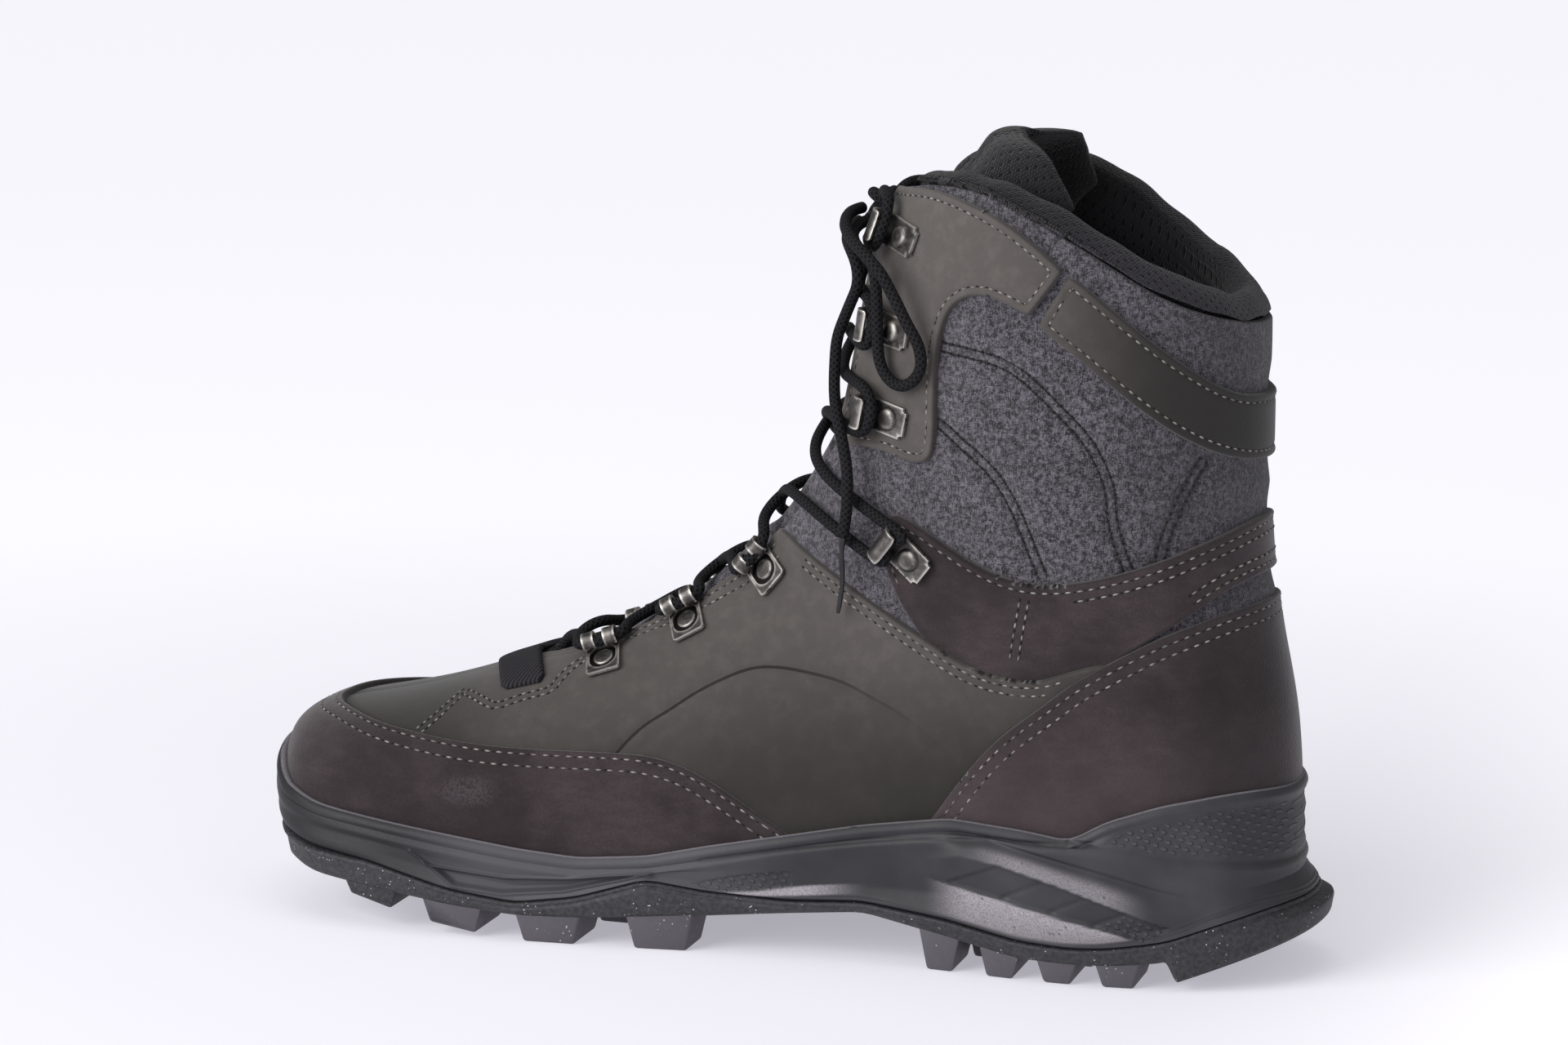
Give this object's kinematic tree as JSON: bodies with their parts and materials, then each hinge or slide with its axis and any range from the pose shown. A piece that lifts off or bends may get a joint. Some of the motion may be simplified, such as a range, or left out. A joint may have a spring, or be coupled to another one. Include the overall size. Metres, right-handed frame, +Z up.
{
  "type": "winter hiking boot",
  "caption": "Ankle-high lace-up winter hiking boot: hollow wool and nubuck upper with suede rand and counter, padded collar and tongue, hooks and rings, lugged rubber sole",
  "frame": {"origin": "on the floor under the middle of the sole", "axes": "+X towards the heel, -X towards the toe, -Y the inner side, +Z up the shaft"},
  "size_m": [0.3012, 0.112, 0.2244],
  "materials": {
    "wool": "heathered blue-grey wool felt, with matte dark nubuck on the vamp",
    "suede": "napped dark brown-grey suede",
    "nubuck": "matte dark olive-grey nubuck",
    "mesh": "black padded mesh",
    "sole": "satin dark grey moulded rubber",
    "tread": "near-black lugged rubber",
    "gunmetal": "dark gunmetal plating",
    "cord": "black round braid"
  },
  "bodies": {
    "root": {"outsole": "tread", "midsole": "sole", "insole": "mesh", "upper": "wool", "toe_rand": "suede", "heel_counter": "suede", "ankle_band": "suede", "shaft_eyestay_in": "nubuck", "shaft_eyestay_out": "nubuck", "cuff_band": "nubuck", "collar_pad": "mesh", "tongue": "mesh", "lace_tab": "cord", "lace_ring_1_in": "gunmetal", "lace_ring_1_out": "gunmetal", "lace_ring_2_in": "gunmetal", "lace_ring_2_out": "gunmetal", "lace_ring_3_in": "gunmetal", "lace_ring_3_out": "gunmetal", "ankle_hook_in": "gunmetal", "ankle_hook_out": "gunmetal", "shaft_hook_1_in": "gunmetal", "shaft_hook_1_out": "gunmetal", "shaft_hook_2_in": "gunmetal", "shaft_hook_2_out": "gunmetal", "shaft_hook_3_in": "gunmetal", "shaft_hook_3_out": "gunmetal", "lace_bars": "cord", "lace_knot": "cord", "lace_loop_in": "cord", "lace_loop_out": "cord", "lace_end_in": "cord", "lace_end_out": "cord"}
  },
  "joints": []
}
